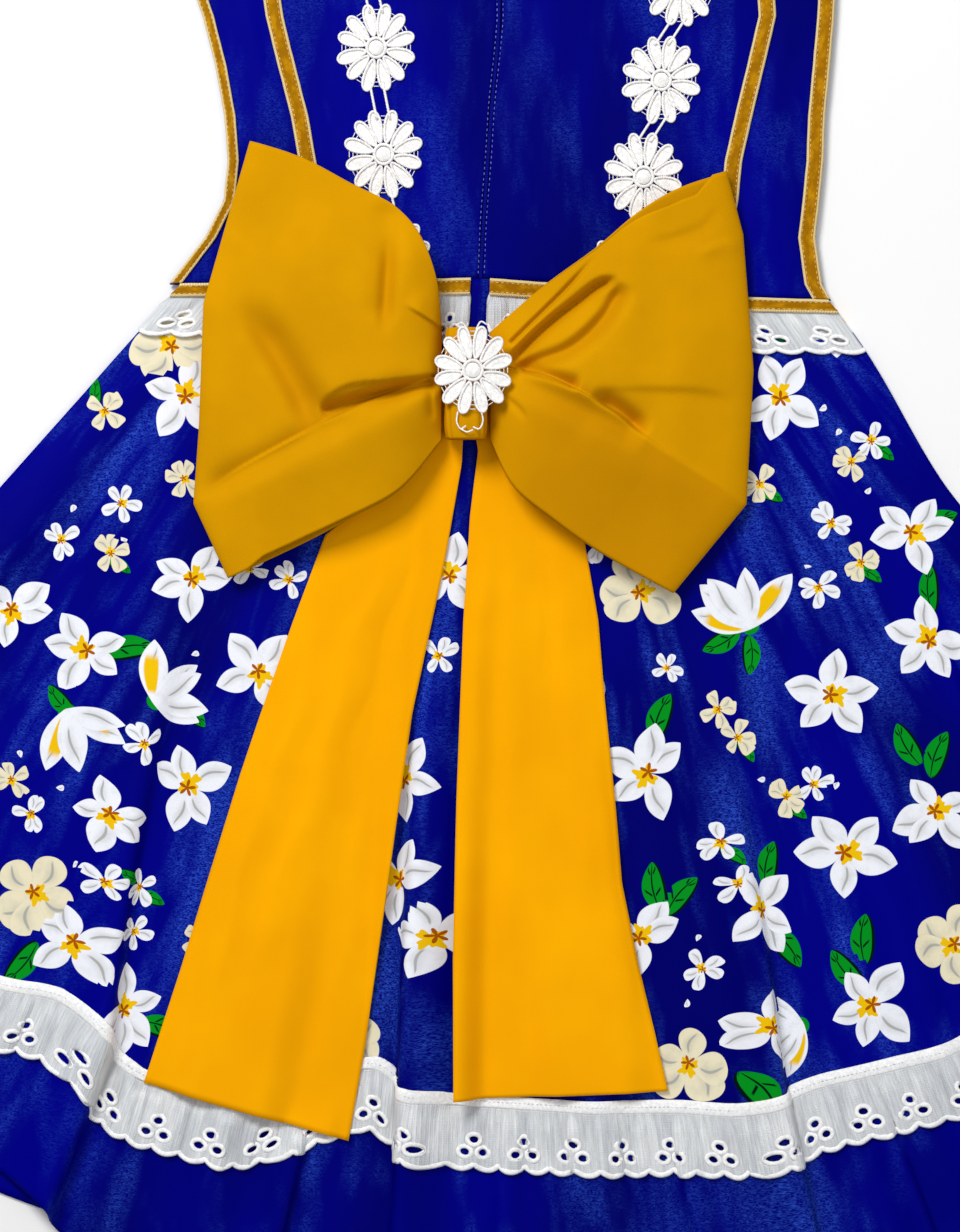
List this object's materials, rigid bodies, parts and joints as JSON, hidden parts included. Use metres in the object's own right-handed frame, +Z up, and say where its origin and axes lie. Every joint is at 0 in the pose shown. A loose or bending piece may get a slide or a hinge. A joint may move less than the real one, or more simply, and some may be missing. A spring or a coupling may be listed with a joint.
{
  "type": "huasa dress",
  "caption": "Chilean huasa dress laid flat with its back up: blue bodice with daisy chains and velvet ribbons, large mustard bow, flower-print skirt, eyelet lace and plain flounce.",
  "frame": {"origin": "middle of the front waist ribbon's lower part, on the surface that the dress lies on", "axes": "+Z up from the surface towards the dress's back, +Y from the waist to the neck, +X to the right seen from above"},
  "size_m": [1.0571, 0.9963, 0.0375],
  "materials": {
    "crepe": "crepe-back satin, slightly shiny",
    "print": "printed crepe, slightly shiny",
    "eyelet_lace": "white cotton eyelet embroidery",
    "guipure": "white guipure lace",
    "velvet": "gold velvet ribbon with corded edges",
    "bow_cloth": "matt mustard crepe",
    "zip_tape": "woven tape over a nylon coil",
    "zip_metal": "lacquered zinc"
  },
  "bodies": {
    "dress": {"bodice_back_side_left": "crepe", "bodice_back_centre_left": "crepe", "bodice_back_centre_right": "crepe", "bodice_back_side_right": "crepe", "bodice_front": "crepe", "flounce_back": "crepe", "flounce_front": "crepe", "skirt_back": "print", "skirt_front": "print", "hem_lace_back": "eyelet_lace", "hem_lace_binding_back": "eyelet_lace", "hem_lace_front": "eyelet_lace", "waist_lace_back_left": "eyelet_lace", "waist_lace_back_right": "eyelet_lace", "waist_lace_front": "eyelet_lace", "daisy_chain_left": "guipure", "daisy_chain_right": "guipure", "bow_daisy": "guipure", "ribbon_side_left": "velvet", "ribbon_princess_left": "velvet", "ribbon_princess_right": "velvet", "ribbon_side_right": "velvet", "waist_ribbon_back_left": "velvet", "waist_ribbon_back_right": "velvet", "waist_ribbon_front": "velvet", "bow_loop_left": "bow_cloth", "bow_loop_right": "bow_cloth", "bow_knot": "bow_cloth", "bow_tail_left": "bow_cloth", "bow_tail_right": "bow_cloth", "zip_coil": "zip_tape", "zip_slider": "zip_metal"},
    "pull": {"zip_pull": "zip_metal"}
  },
  "joints": [
    {"name": "zip_pull_swing", "type": "hinge", "parent": "dress", "child": "pull", "pos_m": [0, 0.35, 0.0073], "axis": [-1, 0, 0], "range_deg": [0, 170]}
  ]
}
